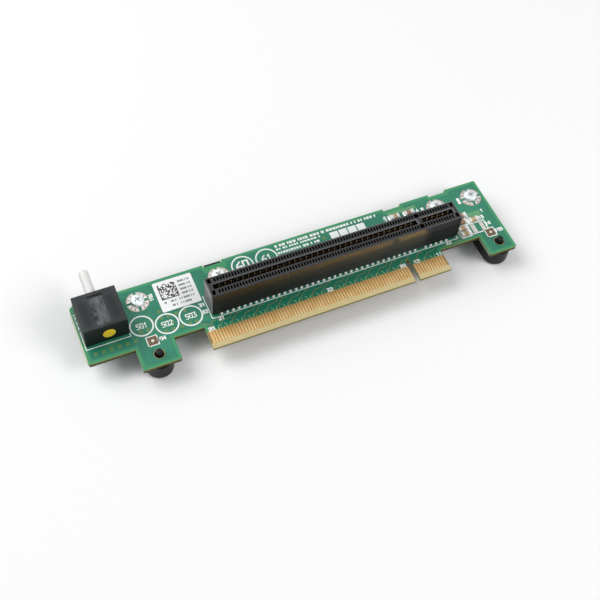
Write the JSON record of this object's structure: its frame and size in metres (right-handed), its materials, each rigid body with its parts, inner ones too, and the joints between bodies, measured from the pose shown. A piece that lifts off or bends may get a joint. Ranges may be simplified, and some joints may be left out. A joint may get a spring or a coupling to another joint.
{
  "type": "pcie riser card",
  "caption": "Flat riser card that plugs in by its gold edge fingers and holds an expansion card in the slot on its face, with a sprung lid switch at one end.",
  "frame": {"origin": "centre line of the key notch on the finger edge, in the plane of the board's top face", "axes": "+X along the board from the key notch towards the short finger group; +Y from the finger edge to the far edge; +Z out of the slot"},
  "size_m": [0.1485, 0.0398, 0.0193],
  "materials": {
    "solder_mask": "glass-fibre board under a satin dark green mask",
    "gold_plating": "gold plating, satin",
    "slot_plastic": "moulded, semi-gloss",
    "contact_alloy": "plated spring alloy",
    "switch_plastic": "moulded, satin",
    "white_plastic": "moulded, satin white",
    "spring_steel": "drawn wire",
    "guide_plastic": "moulded, satin black",
    "screw_plating": "nickel plated",
    "bare_copper": "bare and tinned copper",
    "label_paper": "coated white paper",
    "tan_ceramic": "fired, matt",
    "brown_ceramic": "fired, matt",
    "tin_plating": "tinned"
  },
  "bodies": {
    "card": {"circuit_board": "solder_mask", "edge_fingers_front": "gold_plating", "edge_fingers_back": "gold_plating", "slot_housing": "slot_plastic", "slot_contacts_near": "contact_alloy", "slot_contacts_far": "contact_alloy", "switch_cover": "switch_plastic", "switch_base": "switch_plastic", "switch_terminals": "contact_alloy", "switch_spring": "spring_steel", "guide_left": "guide_plastic", "guide_right": "guide_plastic", "support_brace": "guide_plastic", "screws": "screw_plating", "bare_lands": "bare_copper", "label": "label_paper", "tan_chips": "tan_ceramic", "brown_chips": "brown_ceramic", "chip_end_caps": "tin_plating"},
    "plunger": {"switch_plunger": "white_plastic", "switch_wiper": "contact_alloy"}
  },
  "joints": [
    {"name": "plunger_slide", "type": "slide", "parent": "card", "child": "plunger", "axis": [0, -1, 0], "range_m": [0, 0.004], "stiffness_N_per_m": 150, "springref_m": -0.004, "deforming": ["switch_spring"]}
  ]
}
